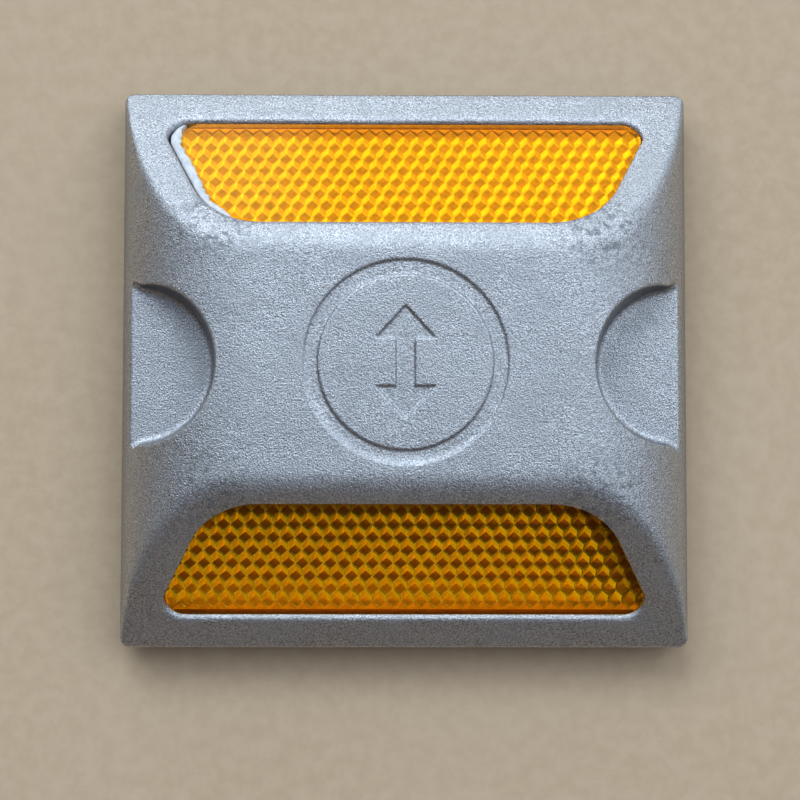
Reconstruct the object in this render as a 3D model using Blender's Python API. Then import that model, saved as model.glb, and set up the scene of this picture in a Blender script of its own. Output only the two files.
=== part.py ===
"""Raised pavement marker: a die-cast aluminium stud with two amber prismatic reflectors.

The road surface is Z = 0 and the origin is under the middle of the stud. +Y is the way the far
reflector faces, -Y the way the near reflector faces, and the finger notches are on the X sides.
Dimensions are in millimetres and are turned into metres where a mesh is made.
"""

import math

import bmesh
import bpy
from mathutils import Matrix, Vector

MM = 0.001
GAP = 0.3  # clearance between neighbouring pieces

# Driving dimensions of the casting, measured from its own underside
CASTING_WIDTH = 100.0
CASTING_LENGTH = 98.0
CASTING_HEIGHT = 20.0
CORNER_RADIUS = 1.8
SHOULDER_RUN = 23.0  # horizontal half axis of the rounded left and right shoulders
SHOULDER_INSET = 0.1  # how far the shoulder starts inside the base edge
SHOULDER_START = 10.0  # degrees up the shoulder where the drafted foot ends
SLOPE_ANGLE = math.radians(30.0)
CREST = 20.6  # distance of the top of each slope from the middle
CREST_RADIUS = 5.0
END_DRAFT = 0.25

# Butyl pad under the casting
PAD_THICKNESS = 3.0
PAD_INSET = 2.2
PAD_CORNER_RADIUS = 4.0
PAD_EDGE = 0.6  # rounding of the pad's upper and lower edges
PAD_EDGE_STEPS = 4

# Hollow underside
WALL = 3.2
CEILING = 17.2
CORE_SHOULDER_RUN = 20.5
CORE_STEP = 18.2  # where the high middle of the hollow ends
CORE_REACH = 36.5  # how far the hollow runs under each reflector
FLOOR_WALL = 2.2  # metal left under a reflector pocket
RIB_THICKNESS = 2.4
RIB_XS = (-30.0, -10.0, 10.0, 30.0)
RIB_YS = (-15.0, 15.0)

# Finger notches
NOTCH_CENTRE = 46.4
NOTCH_RADIUS = 13.4
NOTCH_FLOOR = 9.2
NOTCH_DRAFT = math.radians(6.3)
NOTCH_FLARE = 1.1
NOTCH_FLARE_START = 95.0  # degrees round the notch where its mouth begins to flare
NOTCH_MOUTH_START = NOTCH_CENTRE + 1.0  # where the mouth has its full width
NOTCH_WALL = 2.5

# Round emblem on the plateau
GROOVE_OUTER = 17.2
GROOVE_INNER = 14.7
EMBLEM_DEPTH = 0.4
ARROW_LENGTH = 19.0
ARROW_HEAD_LENGTH = 5.5
ARROW_HEAD_WIDTH = 10.0
ARROW_SHAFT_WIDTH = 3.2

# Reflector window, on the slope: half widths at its upper and lower edges
WINDOW_TOP = 3.65
WINDOW_BOTTOM = 26.1
WINDOW_TOP_HALF = 32.7
WINDOW_BOTTOM_HALF = 43.3
WINDOW_TOP_RADIUS = 13.0
WINDOW_BOTTOM_RADIUS = 3.5
SMALLEST_RADIUS = 0.6  # corners pulled in by an inset stay at least this round
LIP_WIDTH = 1.1  # bevelled lip below the window
LENS_RECESS = 0.7
POCKET_DEPTH = 6.0

# Reflector layers, as depths below the slope
LENS_PLATE_BACK = 2.9
LENS_SKIRT_BACK = 3.6
SKIRT_WIDTH = 0.9
BACKING_RIM_FRONT = 3.9
BACKING_FRONT = 4.2
BACKING_BACK = 5.0
BED_FRONT = 5.3
BED_BACK = 5.7
BED_INSET = 1.2
FAR_LENS_TRIM = 1.9  # the far lens stops short of its pocket's left end
BEAD_FRONT = 1.0  # squeezed-out adhesive fills that end up to here
BEAD_WIDTH = 1.3
BEAD_TOP = 11.4  # the straight end of the window starts here, measured down the slope
BEAD_BOTTOM = 21.6  # and ends here

ARC_STEPS = 6
SHOULDER_STEPS = 14
NOTCH_STEPS = 28
CIRCLE_STEPS = 56
OVERSHOOT = 6.0  # how far a cutter passes the surface it cuts
SMALL_OVERSHOOT = 1.0

CASTING_BASE = PAD_THICKNESS + GAP


def clear_scene():
    for obj in list(bpy.data.objects):
        bpy.data.objects.remove(obj, do_unlink=True)


def make_material(name, colour, roughness, metallic=0.0, transmission=0.0):
    material = bpy.data.materials.new(name)
    material.use_nodes = True
    shader = material.node_tree.nodes["Principled BSDF"]
    shader.inputs["Base Color"].default_value = (*colour, 1.0)
    shader.inputs["Roughness"].default_value = roughness
    shader.inputs["Metallic"].default_value = metallic
    shader.inputs["Transmission Weight"].default_value = transmission
    return material


def add_solid(name, rings, place=None):
    """A closed solid lofted through rings of points, in millimetres, and capped at both ends."""
    mesh = bmesh.new()
    layers = [[mesh.verts.new(Vector(point) * MM) for point in ring] for ring in rings]
    for low, high in zip(layers, layers[1:]):
        for i in range(len(low)):
            j = (i + 1) % len(low)
            mesh.faces.new((low[i], low[j], high[j], high[i]))
    mesh.faces.new(list(reversed(layers[0])))
    mesh.faces.new(layers[-1])
    bmesh.ops.recalc_face_normals(mesh, faces=mesh.faces)
    data = bpy.data.meshes.new(name)
    mesh.to_mesh(data)
    mesh.free()
    obj = bpy.data.objects.new(name, data)
    bpy.context.scene.collection.objects.link(obj)
    if place is not None:
        obj.matrix_world = place
    return obj


def finish_piece(obj, material, parent):
    obj.data.materials.append(material)
    obj.data.shade_smooth()
    obj.data.set_sharp_from_angle(angle=math.radians(30.0))
    obj.parent = parent


def combine(target, tool, operation):
    """Adds a Boolean to the target and hides the tool."""
    modifier = target.modifiers.new(tool.name, "BOOLEAN")
    modifier.operation = operation
    modifier.solver = "EXACT"
    modifier.object = tool
    tool.hide_render = True
    tool.display_type = "WIRE"


def raise_by(height):
    return Matrix.Translation((0.0, 0.0, height * MM))


def slope_place(side):
    """Local X runs across, Y down the slope and Z out of it, from the crest on the given side."""
    lift = Matrix.Translation((0.0, CREST * MM, (CASTING_BASE + CASTING_HEIGHT) * MM))
    turn = Matrix.Rotation(math.pi if side < 0 else 0.0, 4, "Z")
    return turn @ lift @ Matrix.Rotation(-SLOPE_ANGLE, 4, "X")


def flat_ring(outline, height):
    return [(x, y, height) for x, y in outline]


def along_y(outline, low, high):
    """Rings of an X-Z outline that runs along Y."""
    return [[(x, y, z) for x, z in outline] for y in (low, high)]


def along_x(outline, low, high):
    """Rings of a Y-Z outline that runs along X."""
    return [[(x, y, z) for y, z in outline] for x in (low, high)]


def rounded(corners, radii, steps=ARC_STEPS):
    """The outline with each corner replaced by an arc of its radius."""
    points = []
    count = len(corners)
    for i in range(count):
        corner = Vector(corners[i])
        back = (Vector(corners[i - 1]) - corner).normalized()
        ahead = (Vector(corners[(i + 1) % count]) - corner).normalized()
        if radii[i] == 0.0:
            points.append(tuple(corner))
            continue
        half = back.angle(ahead) / 2.0
        centre = corner + (back + ahead).normalized() * (radii[i] / math.sin(half))
        reach = radii[i] / math.tan(half)
        start = corner + back * reach - centre
        sweep = start.angle_signed(corner + ahead * reach - centre)
        for step in range(steps + 1):
            turn = Matrix.Rotation(-sweep * step / steps, 2)
            points.append(tuple(centre + turn @ start))
    return points


def rectangle(half_x, half_y, radius):
    corners = [(-half_x, -half_y), (half_x, -half_y), (half_x, half_y), (-half_x, half_y)]
    return rounded(corners, [radius] * 4)


def circle(radius, steps=CIRCLE_STEPS):
    angles = [2.0 * math.pi * step / steps for step in range(steps)]
    return [(radius * math.cos(angle), radius * math.sin(angle)) for angle in angles]


def mirrored(half):
    """A closed outline from its right half, listed from the bottom up."""
    return half + [(-a, b) for a, b in reversed(half)]


def shoulder_outline(half_width, inset, run, height, start):
    """X-Z outline of a block with quarter-ellipse shoulders."""
    half = [(half_width, 0.0)]
    for step in range(SHOULDER_STEPS + 1):
        angle = math.radians(start + (90.0 - start) * step / SHOULDER_STEPS)
        across = half_width - inset - run * (1.0 - math.cos(angle))
        half.append((across, height * math.sin(angle)))
    return mirrored(half)


def slope_height(distance, depth=0.0):
    """Height of the slope, or of a plane this far below it, at a distance from the middle."""
    surface = CASTING_HEIGHT - (distance - CREST) * math.tan(SLOPE_ANGLE)
    return surface - depth / math.cos(SLOPE_ANGLE)


def end_outline():
    """Y-Z outline of the casting: upright ends, two slopes and the plateau."""
    foot = CASTING_LENGTH / 2.0
    edge = foot - END_DRAFT
    corners = mirrored([(foot, 0.0), (edge, slope_height(edge)), (CREST, CASTING_HEIGHT)])
    crest = [CREST_RADIUS if z == CASTING_HEIGHT else 0.0 for _, z in corners]
    return rounded(corners, crest)


def core_outline():
    """Y-Z outline of the hollow, which stays below both reflector pockets."""
    depth = POCKET_DEPTH + FLOOR_WALL
    return mirrored(
        [
            (CORE_REACH, -OVERSHOOT),
            (CORE_REACH, slope_height(CORE_REACH, depth)),
            (CORE_STEP, slope_height(CORE_STEP, depth)),
            (CORE_STEP, CEILING),
        ]
    )


def window_half_width(down, inset):
    """Half width of the window at a distance down the slope, with its slanted ends pulled in."""
    lean = (WINDOW_BOTTOM_HALF - WINDOW_TOP_HALF) / (WINDOW_BOTTOM - WINDOW_TOP)
    return WINDOW_TOP_HALF + lean * (down - WINDOW_TOP) - inset * math.hypot(1.0, lean)


def window_outline(inset=0.0, left_trim=0.0, drop=0.0, steps=ARC_STEPS):
    """Outline of the reflector window on the slope, pulled in by the inset."""
    top = WINDOW_TOP + inset
    bottom = WINDOW_BOTTOM - inset + drop

    corners = [
        (-window_half_width(top, inset + left_trim), top),
        (window_half_width(top, inset), top),
        (window_half_width(bottom, inset), bottom),
        (-window_half_width(bottom, inset + left_trim), bottom),
    ]
    upper = WINDOW_TOP_RADIUS - inset
    lower = max(WINDOW_BOTTOM_RADIUS - inset, SMALLEST_RADIUS)
    return rounded(corners, [upper, upper, lower, lower], steps)


def add_pocket(name, side):
    """Cutter for a reflector pocket, with the bevelled lip along its lower edge."""
    rings = [
        flat_ring(window_outline(), -POCKET_DEPTH),
        flat_ring(window_outline(), -LENS_RECESS),
        flat_ring(window_outline(drop=LIP_WIDTH), 0.0),
        flat_ring(window_outline(drop=LIP_WIDTH), OVERSHOOT),
    ]
    return add_solid(name, rings, slope_place(side))


def notch_ring(side, radius, height):
    """Plan of a finger notch that opens through the side of the casting."""
    outline = []
    for step in range(NOTCH_STEPS + 1):
        share = step / NOTCH_STEPS
        angle = math.radians(NOTCH_FLARE_START + (360.0 - 2.0 * NOTCH_FLARE_START) * share)
        outline.append((NOTCH_CENTRE + radius * math.cos(angle), radius * math.sin(angle)))
    mouth = radius + NOTCH_FLARE
    beyond = CASTING_WIDTH / 2.0 + OVERSHOOT
    outline += [(NOTCH_MOUTH_START, -mouth), (beyond, -mouth)]
    outline += [(beyond, mouth), (NOTCH_MOUTH_START, mouth)]
    return flat_ring([(side * x, y) for x, y in outline], height)


def add_notch(name, side):
    top = CASTING_HEIGHT + OVERSHOOT
    spread = (top - NOTCH_FLOOR) * math.tan(NOTCH_DRAFT)
    rings = [
        notch_ring(side, NOTCH_RADIUS, NOTCH_FLOOR),
        notch_ring(side, NOTCH_RADIUS + spread, top),
    ]
    return add_solid(name, rings, raise_by(CASTING_BASE))


def add_notch_guard(name, side):
    """The metal kept round a finger notch, taken out of the hollow's cutter."""
    radius = NOTCH_RADIUS + (CASTING_HEIGHT - NOTCH_FLOOR) * math.tan(NOTCH_DRAFT) + NOTCH_WALL
    outline = [(x + side * NOTCH_CENTRE, y) for x, y in circle(radius)]
    rings = [
        flat_ring(outline, NOTCH_FLOOR - NOTCH_WALL),
        flat_ring(outline, CASTING_HEIGHT + OVERSHOOT),
    ]
    return add_solid(name, rings, raise_by(CASTING_BASE))


def add_bar(name, centre, half):
    outline = rectangle(half[0], half[1], 0.0)
    outline = [(x + centre[0], y + centre[1]) for x, y in outline]
    rings = [flat_ring(outline, -2.0 * OVERSHOOT), flat_ring(outline, CASTING_HEIGHT)]
    return add_solid(name, rings, raise_by(CASTING_BASE))


def add_hollow():
    """Cutter for the hollow underside, already split into cells by the ribs."""
    width = CASTING_WIDTH / 2.0 - WALL
    outline = shoulder_outline(width, 0.0, CORE_SHOULDER_RUN, CEILING, 0.0)
    outline = [(x, z if z > 0.0 else -OVERSHOOT) for x, z in outline[1:-1]]
    half = CASTING_LENGTH / 2.0
    hollow = add_solid("hollow_cutter", along_y(outline, -half, half), raise_by(CASTING_BASE))
    profile = along_x(core_outline(), -CASTING_WIDTH, CASTING_WIDTH)
    combine(hollow, add_solid("hollow_profile", profile, raise_by(CASTING_BASE)), "INTERSECT")
    for number, x in enumerate(RIB_XS):
        rib = add_bar(f"long_rib_{number}", (x, 0.0), (RIB_THICKNESS / 2.0, CASTING_LENGTH))
        combine(hollow, rib, "DIFFERENCE")
    for number, y in enumerate(RIB_YS):
        rib = add_bar(f"cross_rib_{number}", (0.0, y), (CASTING_WIDTH, RIB_THICKNESS / 2.0))
        combine(hollow, rib, "DIFFERENCE")
    for side, label in ((-1, "left"), (1, "right")):
        combine(hollow, add_notch_guard(f"{label}_notch_guard", side), "DIFFERENCE")
    return hollow


def add_groove():
    """Cutter for the round groove of the emblem."""
    low = CASTING_HEIGHT - EMBLEM_DEPTH
    high = CASTING_HEIGHT + OVERSHOOT
    outer = circle(GROOVE_OUTER)
    inner = circle(GROOVE_INNER)
    disc = add_solid("groove_cutter", [flat_ring(outer, low), flat_ring(outer, high)])
    rings = [flat_ring(inner, low - OVERSHOOT), flat_ring(inner, high + OVERSHOOT)]
    combine(disc, add_solid("groove_island", rings), "DIFFERENCE")
    for obj in (disc, disc.modifiers[0].object):
        obj.matrix_world = raise_by(CASTING_BASE)
    return disc


def arrow_outline():
    """Double-headed arrow along Y."""
    tip = ARROW_LENGTH / 2.0
    neck = tip - ARROW_HEAD_LENGTH
    head = ARROW_HEAD_WIDTH / 2.0
    shaft = ARROW_SHAFT_WIDTH / 2.0
    right = [(0.0, -tip), (head, -neck), (shaft, -neck), (shaft, neck), (head, neck), (0.0, tip)]
    return right + [(-x, y) for x, y in reversed(right[1:-1])]


def add_arrow():
    rings = [
        flat_ring(arrow_outline(), CASTING_HEIGHT - EMBLEM_DEPTH),
        flat_ring(arrow_outline(), CASTING_HEIGHT + OVERSHOOT),
    ]
    return add_solid("arrow_cutter", rings, raise_by(CASTING_BASE))


def make_casting(material, parent):
    half_x = CASTING_WIDTH / 2.0
    half_y = CASTING_LENGTH / 2.0
    outline = shoulder_outline(
        half_x, SHOULDER_INSET, SHOULDER_RUN, CASTING_HEIGHT, SHOULDER_START
    )
    casting = add_solid(
        "body_casting",
        along_y(outline, -half_y - SMALL_OVERSHOOT, half_y + SMALL_OVERSHOOT),
        raise_by(CASTING_BASE),
    )
    profile = along_x(end_outline(), -half_x - SMALL_OVERSHOOT, half_x + SMALL_OVERSHOOT)
    combine(casting, add_solid("slope_profile", profile, raise_by(CASTING_BASE)), "INTERSECT")
    plan = rectangle(half_x, half_y, CORNER_RADIUS)
    rings = [flat_ring(plan, -OVERSHOOT), flat_ring(plan, CASTING_HEIGHT + OVERSHOOT)]
    combine(casting, add_solid("plan_outline", rings, raise_by(CASTING_BASE)), "INTERSECT")
    combine(casting, add_hollow(), "DIFFERENCE")
    combine(casting, add_pocket("far_pocket_cutter", 1), "DIFFERENCE")
    combine(casting, add_pocket("near_pocket_cutter", -1), "DIFFERENCE")
    combine(casting, add_notch("left_notch_cutter", -1), "DIFFERENCE")
    combine(casting, add_notch("right_notch_cutter", 1), "DIFFERENCE")
    combine(casting, add_groove(), "DIFFERENCE")
    combine(casting, add_arrow(), "DIFFERENCE")
    finish_piece(casting, material, parent)


def make_lens(name, side, trim, material, parent):
    """Amber lens: a plate with a skirt round its back, where the prisms hang."""
    rings = [
        flat_ring(window_outline(GAP, trim), -LENS_SKIRT_BACK),
        flat_ring(window_outline(GAP, trim), -LENS_RECESS),
    ]
    lens = add_solid(name, rings, slope_place(side))
    inside = window_outline(GAP + SKIRT_WIDTH, trim)
    rings = [
        flat_ring(inside, -LENS_SKIRT_BACK - SMALL_OVERSHOOT),
        flat_ring(inside, -LENS_PLATE_BACK),
    ]
    combine(lens, add_solid(f"{name}_cutter", rings, slope_place(side)), "DIFFERENCE")
    finish_piece(lens, material, parent)


def make_backing(name, side, trim, material, parent):
    """Silvered tray that closes the back of the lens and keeps its prisms dry."""
    rings = [
        flat_ring(window_outline(GAP, trim), -BACKING_BACK),
        flat_ring(window_outline(GAP, trim), -BACKING_RIM_FRONT),
    ]
    backing = add_solid(name, rings, slope_place(side))
    inside = window_outline(GAP + SKIRT_WIDTH, trim)
    rings = [
        flat_ring(inside, -BACKING_FRONT),
        flat_ring(inside, -BACKING_RIM_FRONT + SMALL_OVERSHOOT),
    ]
    combine(backing, add_solid(f"{name}_cutter", rings, slope_place(side)), "DIFFERENCE")
    finish_piece(backing, material, parent)


def add_bead(name, side):
    """Adhesive squeezed up between the trimmed left end of a lens and its pocket."""
    outline = [
        (-window_half_width(BEAD_TOP, GAP), BEAD_TOP),
        (-window_half_width(BEAD_TOP, GAP + BEAD_WIDTH), BEAD_TOP),
        (-window_half_width(BEAD_BOTTOM, GAP + BEAD_WIDTH), BEAD_BOTTOM),
        (-window_half_width(BEAD_BOTTOM, GAP), BEAD_BOTTOM),
    ]
    rings = [flat_ring(outline, -BED_BACK), flat_ring(outline, -BEAD_FRONT)]
    return add_solid(name, rings, slope_place(side))


def make_adhesive(name, side, has_bead, material, parent):
    """Adhesive bed between the tray and the floor of its pocket."""
    inset = GAP if has_bead else BED_INSET
    rings = [
        flat_ring(window_outline(inset), -BED_BACK),
        flat_ring(window_outline(inset), -BED_FRONT),
    ]
    bed = add_solid(name, rings, slope_place(side))
    if has_bead:
        combine(bed, add_bead(f"{name}_bead", side), "UNION")
    finish_piece(bed, material, parent)


def make_pad(material, parent):
    """Butyl pad, a slab whose edges are rounded by the pressing."""
    angles = [math.radians(90.0 * step / PAD_EDGE_STEPS) for step in range(PAD_EDGE_STEPS + 1)]
    lower = [(PAD_EDGE * (1.0 - math.sin(a)), PAD_EDGE * (1.0 - math.cos(a))) for a in angles]
    upper = [(inset, PAD_THICKNESS - height) for inset, height in reversed(lower)]
    rings = []
    for inset, height in lower + upper:
        half_x = CASTING_WIDTH / 2.0 - PAD_INSET - inset
        half_y = CASTING_LENGTH / 2.0 - PAD_INSET - inset
        rings.append(flat_ring(rectangle(half_x, half_y, PAD_CORNER_RADIUS - inset), height))
    finish_piece(add_solid("mounting_pad", rings), material, parent)


def main():
    clear_scene()
    aluminium = make_material("cast_aluminium", (0.50, 0.51, 0.53), 0.45, metallic=1.0)
    amber = make_material("amber_lens", (0.90, 0.42, 0.02), 0.08, transmission=0.8)
    silvered = make_material("silvered_abs", (0.72, 0.72, 0.72), 0.4, metallic=1.0)
    epoxy = make_material("adhesive", (0.88, 0.87, 0.82), 0.35)
    butyl = make_material("butyl_pad", (0.03, 0.028, 0.026), 0.8)
    root = bpy.data.objects.new("raised_pavement_marker", None)
    bpy.context.scene.collection.objects.link(root)
    make_casting(aluminium, root)
    make_lens("far_lens", 1, FAR_LENS_TRIM, amber, root)
    make_lens("near_lens", -1, 0.0, amber, root)
    make_backing("far_lens_backing", 1, FAR_LENS_TRIM, silvered, root)
    make_backing("near_lens_backing", -1, 0.0, silvered, root)
    make_adhesive("far_adhesive", 1, True, epoxy, root)
    make_adhesive("near_adhesive", -1, False, epoxy, root)
    make_pad(butyl, root)


main()
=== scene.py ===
"""Looks of the raised pavement marker: fine meshes, materials, light and camera.

Shapes are worked out in millimetres, with Z measured from the casting's underside, and turned into
metres in the frame's own axes where a mesh is made. Each slope has axes of its own: across, down
the slope from its crest, and depth below it.
"""

import math

import bmesh
import bpy
import numpy as np
from mathutils import Matrix, Vector
from mathutils.geometry import delaunay_2d_cdt


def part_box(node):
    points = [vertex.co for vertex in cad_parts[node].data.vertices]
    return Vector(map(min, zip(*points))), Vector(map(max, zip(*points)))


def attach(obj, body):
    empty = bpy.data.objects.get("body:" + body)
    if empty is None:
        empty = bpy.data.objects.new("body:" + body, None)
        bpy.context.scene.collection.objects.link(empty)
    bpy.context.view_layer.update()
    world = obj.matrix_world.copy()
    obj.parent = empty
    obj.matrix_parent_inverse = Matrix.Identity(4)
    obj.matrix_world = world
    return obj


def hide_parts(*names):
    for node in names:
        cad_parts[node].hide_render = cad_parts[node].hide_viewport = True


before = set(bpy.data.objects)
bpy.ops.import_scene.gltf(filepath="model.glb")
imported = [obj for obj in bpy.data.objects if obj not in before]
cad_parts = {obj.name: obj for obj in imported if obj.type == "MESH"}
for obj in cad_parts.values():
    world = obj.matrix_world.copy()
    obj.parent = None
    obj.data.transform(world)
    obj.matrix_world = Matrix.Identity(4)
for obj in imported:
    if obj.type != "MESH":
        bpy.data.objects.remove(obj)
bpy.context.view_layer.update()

MM = 0.001
SEED = 7
CASTING_LOW, CASTING_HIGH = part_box("body_casting")
PAD_LOW, PAD_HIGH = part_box("mounting_pad")
BASE = CASTING_LOW.z / MM
HALF_X = CASTING_HIGH.x / MM
HALF_Y = CASTING_HIGH.y / MM
HEIGHT = (CASTING_HIGH.z - CASTING_LOW.z) / MM

# Casting
CORNER_RADIUS = 1.8
SHOULDER_RUN = 23.0
SHOULDER_INSET = 0.1
SHOULDER_START = math.radians(10.0)
FOOT_HEIGHT = HEIGHT * math.sin(SHOULDER_START)
FOOT_INSET = SHOULDER_INSET + SHOULDER_RUN * (1.0 - math.cos(SHOULDER_START))
SLOPE = math.radians(30.0)
CREST = 20.6
CREST_SOFTNESS = 1.3
END_DRAFT = 0.25
END_ROUNDING = 0.7  # radius where a slope meets the upright end
GRID = 0.9  # spacing of mesh points on smooth stretches

# Hollow underside
WALL = 3.2
CEILING = 17.2
CORE_RUN = 20.5
CORE_STEP = 18.2
CORE_REACH = 36.5
FLOOR_WALL = 2.2

# Finger notches
NOTCH_CENTRE = 46.4
NOTCH_RADIUS = 13.4
NOTCH_FLOOR = 9.2
NOTCH_DRAFT = math.radians(6.3)
NOTCH_FLARE = 1.1
NOTCH_FILLET = 1.2

# Emblem
GROOVE_INNER = 14.7
GROOVE_OUTER = 17.2
EMBLEM_DEPTH = 0.4
EDGE_WIDTH = 0.45  # width of the sloping edge of a shallow recess
WORN_WIDTH = 0.5  # extra width of the ring's worn outer edge, on its near left
ARROW_LENGTH = 19.0
ARROW_HEAD_LENGTH = 5.5
ARROW_HEAD_WIDTH = 10.0
ARROW_SHAFT_WIDTH = 3.2

# Reflector windows
WINDOW_TOP = 3.65
WINDOW_BOTTOM = 26.1
WINDOW_TOP_HALF = 32.7
WINDOW_BOTTOM_HALF = 43.3
WINDOW_TOP_RADIUS = 13.0
WINDOW_BOTTOM_RADIUS = 3.5
SMALLEST_RADIUS = 0.5
LENS_RECESS = 0.7
POCKET_DEPTH = 6.0
LENS_GAP = 0.1
FAR_LENS_TRIM = 1.9
LEAN = (WINDOW_BOTTOM_HALF - WINDOW_TOP_HALF) / (WINDOW_BOTTOM - WINDOW_TOP)
# Inset, drop of the lower edge, and depth of each layer from a window's rim to its pocket's floor
WINDOW_PROFILE = (
    (-0.15, 1.05, 0.0),
    (-0.06, 0.60, 0.07),
    (0.0, 0.28, 0.28),
    (0.02, 0.02, LENS_RECESS),
    (0.03, 0.0, LENS_RECESS + 0.2),
    (0.04, 0.0, POCKET_DEPTH),
)

# Prisms: hexagonal cells, each the corner of a cube, in offset rows down the slope
CELL_PITCH = 2.4
CELL_SIDE = CELL_PITCH / math.sqrt(3.0)
CELL_STRETCH = 1.25
CELL_STEP = CELL_PITCH / math.sqrt(6.0)  # height of one of a cell's two levels
CELL_INNER = 0.89  # share of a cell inside its rounded ridges
CELL_PHASE = {1: 0.9, -1: -0.5}  # sideways place of the cells in the far and the near lens
LAST_ROW = 23.48  # distance down the slope of the last row of cells
PRISM_ROOT = 1.9
FLANGE_BACK = 1.5
SKIRT_BACK = 3.6
SKIRT_TOP = 25.3
SEAM = 0.04  # width given to an upright step

# Looks
SHADOW_TINT = (0.98, 0.78, 0.35)  # colour of lamp light that has passed an amber surface
FAR_TURN = (0.0, 0.9, 3.0)  # added to the normals of prism faces before they are shaded as mirrors
NEAR_TURN = (2.7, 0.8, 8.0)
NEAR_LIT = (35.5, 39.5)  # painted light: the near lens's lower faces brighten between these distances from the middle

# Light: ways are directions seen from the marker, and the floor's reach is in metres
BRIGHT_WAY = Vector((0.28, 0.92, 0.27)).normalized()
# Share of the way round to the bright side, and the colour there
SKY = (
    (0.0, (0.20, 0.155, 0.125)),
    (0.40, (0.11, 0.10, 0.10)),
    (0.62, (0.27, 0.32, 0.41)),
    (0.95, (0.72, 0.83, 0.96)),
)
GLOW_WAY = Vector((-0.17, 0.93, 0.31)).normalized()
GLOW_EDGE = (0.988, 0.998)  # cosines of the angles where the glow begins and where it is full
GLOW_STRENGTH = 3.0
FLOOR_REACH = 3.0

# Camera: place in millimetres from the middle of the casting's underside, and small turns in degrees
CAMERA_PLACE = Vector((-3.244, -21.415, 299.559))
CAMERA_TURNS = (3.076, -0.472, 0.109)
CAMERA_LENS = 75.84
SENSOR_WIDTH = 36.0


# ---------------------------------------------------------------- outlines

def rounded(corners, radii, arc_steps=8):
    """Arcs of points, one for each corner of an outline."""
    arcs = []
    for i, radius in enumerate(radii):
        corner = Vector(corners[i])
        back = (Vector(corners[i - 1]) - corner).normalized()
        ahead = (Vector(corners[(i + 1) % len(corners)]) - corner).normalized()
        half = back.angle(ahead) / 2.0
        centre = corner + (back + ahead).normalized() * (radius / math.sin(half))
        reach = radius / math.tan(half)
        start = corner + back * reach - centre
        sweep = start.angle_signed(corner + ahead * reach - centre)
        turns = [Matrix.Rotation(-sweep * step / arc_steps, 2) for step in range(arc_steps + 1)]
        arcs.append([centre + turn @ start for turn in turns])
    return arcs


def joined(arcs, counts):
    """A closed outline from arcs, with a given number of steps along each straight between them."""
    points = []
    for i, arc in enumerate(arcs):
        points += arc
        following = arcs[(i + 1) % len(arcs)][0]
        points += [arc[-1].lerp(following, step / counts[i]) for step in range(1, counts[i])]
    return np.array([tuple(point) for point in points])


def rectangle(half_x, half_y, radius):
    corners = [(-half_x, -half_y), (half_x, -half_y), (half_x, half_y), (-half_x, half_y)]
    return joined(rounded(corners, [radius] * 4), [64] * 4)


def window_outline(inset=0.0, left_trim=0.0, drop=0.0):
    """Outline of a reflector window in slope axes, always with the same number of points."""
    top = WINDOW_TOP + inset
    bottom = WINDOW_BOTTOM - inset + drop

    def half(down, trim):
        return WINDOW_TOP_HALF + LEAN * (down - WINDOW_TOP) - (inset + trim) * math.hypot(1.0, LEAN)

    corners = [(-half(top, left_trim), top), (half(top, 0.0), top)]
    corners += [(half(bottom, 0.0), bottom), (-half(bottom, left_trim), bottom)]
    upper = WINDOW_TOP_RADIUS - inset
    lower = max(WINDOW_BOTTOM_RADIUS - inset, SMALLEST_RADIUS)
    return joined(rounded(corners, [upper, upper, lower, lower], 16), [36, 10, 56, 10])


def from_slope(across, down, depth, side):
    """Slope axes to the casting's axes. The side is +1 for far and -1 for near."""
    y = CREST + down * math.cos(SLOPE) - depth * math.sin(SLOPE)
    z = HEIGHT - down * math.sin(SLOPE) - depth * math.cos(SLOPE)
    return np.stack([across * side, y * side, z], axis=-1)


def on_slope(outline, side, depth=0.0):
    return from_slope(outline[:, 0], outline[:, 1], depth, side)


def window_rim(side, grow=0.0):
    inset, drop, _ = WINDOW_PROFILE[0]
    return on_slope(window_outline(inset - grow, drop=drop), side)


def circle(radius, step=0.5):
    count = round(2.0 * math.pi * radius / step)
    angles = np.arange(count) * 2.0 * math.pi / count
    return np.stack([radius * np.cos(angles), radius * np.sin(angles)], axis=1)


def mirrored(half):
    """A closed outline from its right half."""
    return half + [(-a, b) for a, b in reversed(half)]


def arrow_corners(grow=0.0):
    """Double-headed arrow along Y, grown outwards by a small amount."""
    tip = ARROW_LENGTH / 2.0
    neck = tip - ARROW_HEAD_LENGTH
    head = ARROW_HEAD_WIDTH / 2.0
    shaft = ARROW_SHAFT_WIDTH / 2.0
    slant = math.hypot(head, ARROW_HEAD_LENGTH)
    tip += grow * slant / head
    barb = head + grow * (slant + head) / ARROW_HEAD_LENGTH
    right = [(0.0, -tip), (barb, -neck + grow), (shaft + grow, -neck + grow)]
    right += [(shaft + grow, neck - grow), (barb, neck - grow), (0.0, tip)]
    return right + [(-x, y) for x, y in reversed(right[1:-1])]


def divided(corners, step):
    """The closed outline through these corners, with even points along each side."""
    points = []
    for start, end in zip(corners, corners[1:] + corners[:1]):
        count = max(1, round(math.dist(start, end) / step))
        shares = np.arange(count)[:, None] / count
        points += list(np.array(start) + shares * (np.array(end) - np.array(start)))
    return np.array(points)


def inside(points, corners):
    """Which points lie inside a closed outline, by counting crossings."""
    found = np.zeros(len(points), bool)
    x, y = points[:, 0], points[:, 1]
    for (ax, ay), (bx, by) in zip(corners, np.roll(corners, -1, axis=0)):
        if ay != by:
            crosses = (ay > y) != (by > y)
            found ^= crosses & (x < ax + (y - ay) * (bx - ax) / (by - ay))
    return found


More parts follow.
